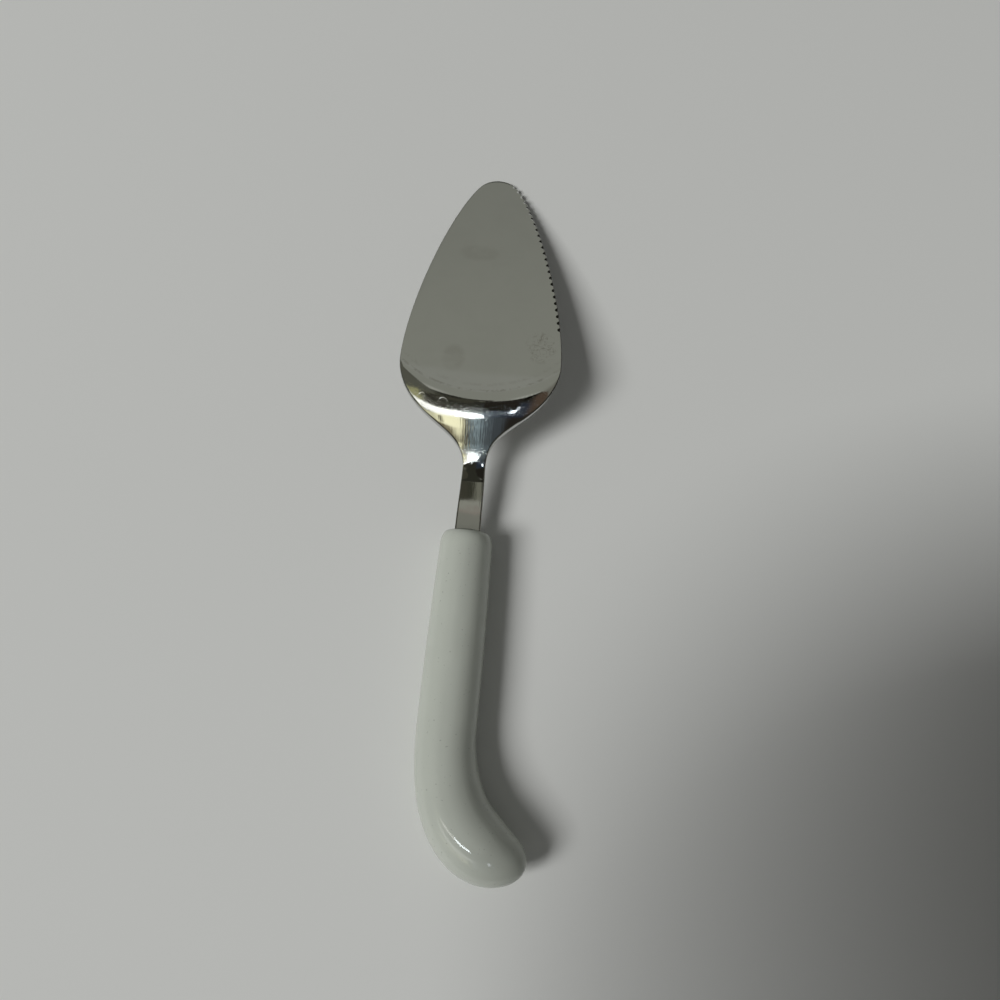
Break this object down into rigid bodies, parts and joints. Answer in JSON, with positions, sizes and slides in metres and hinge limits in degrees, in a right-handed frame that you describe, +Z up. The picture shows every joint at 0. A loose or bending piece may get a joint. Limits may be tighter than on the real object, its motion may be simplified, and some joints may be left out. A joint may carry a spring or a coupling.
{
  "type": "cake server",
  "caption": "Cake server with a flat tear-drop steel blade, a dished shoulder, one fluted edge and a pistol-shaped hollow glazed handle.",
  "frame": {"origin": "on the table, below the middle of the part's box, with the server lying on its serving face: it touches at the blade's tip and along the handle", "axes": "+Y along the length towards the blade's tip, +X towards the fluted edge and the handle's toe, +Z up from the table"},
  "size_m": [0.0588, 0.265, 0.0266],
  "materials": {
    "polished_steel": "polished stainless steel with fine use scratches and finger smudges",
    "white_glaze": "glossy white glaze over stoneware",
    "set_cement": "matt grey-white set cement"
  },
  "bodies": {
    "root": {"blade": "polished_steel", "handle": "white_glaze", "cement": "set_cement"}
  },
  "joints": []
}
